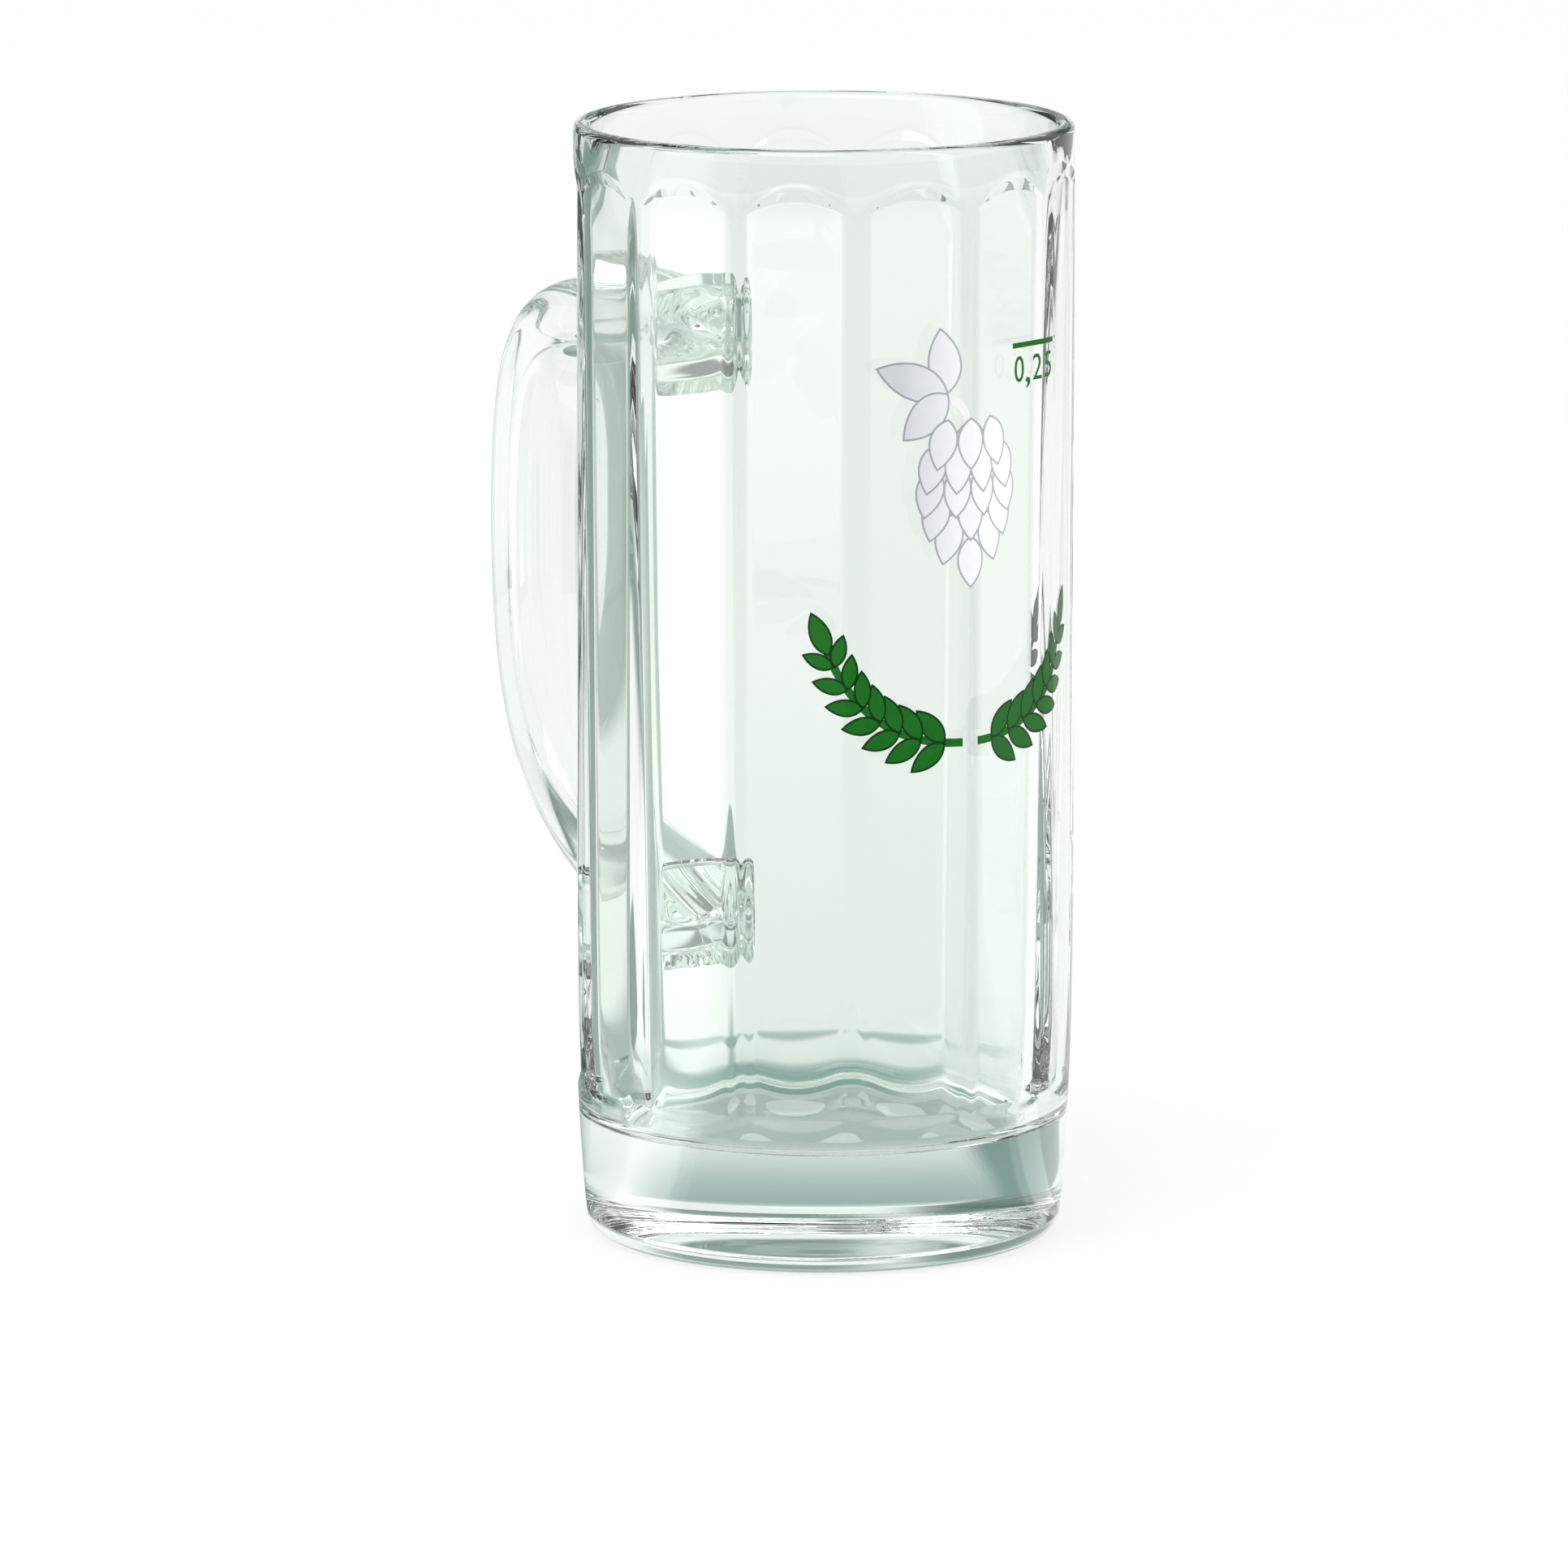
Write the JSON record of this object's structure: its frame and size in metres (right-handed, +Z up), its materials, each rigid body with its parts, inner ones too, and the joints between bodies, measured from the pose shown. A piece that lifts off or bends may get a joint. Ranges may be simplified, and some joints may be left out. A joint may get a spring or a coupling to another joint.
{
  "type": "beer mug",
  "caption": "Tall clear pressed-glass beer mug with arched flat panels, a thick solid base, a rounded strap handle, and a white hop print over green leaf sprays.",
  "frame": {"origin": "middle of the flat foot, on the surface that the mug stands on", "axes": "+Z up along the bowl's axis, -X towards the handle, +X towards the prints"},
  "size_m": [0.1039, 0.0662, 0.1487],
  "materials": {
    "glass": "clear fire-polished soda-lime glass with a faint green tint",
    "white_enamel": "fired white ceramic print, slightly silvery at one side",
    "green_enamel": "fired leaf-green ceramic print with a darker edge"
  },
  "bodies": {
    "root": {"bowl": "glass", "handle": "glass", "hop_print": "white_enamel", "left_spray_print": "green_enamel", "right_spray_print": "green_enamel", "fill_line_print": "green_enamel", "fill_digit_0": "green_enamel", "fill_comma": "green_enamel", "fill_digit_2": "green_enamel", "fill_digit_5": "green_enamel"}
  },
  "joints": []
}
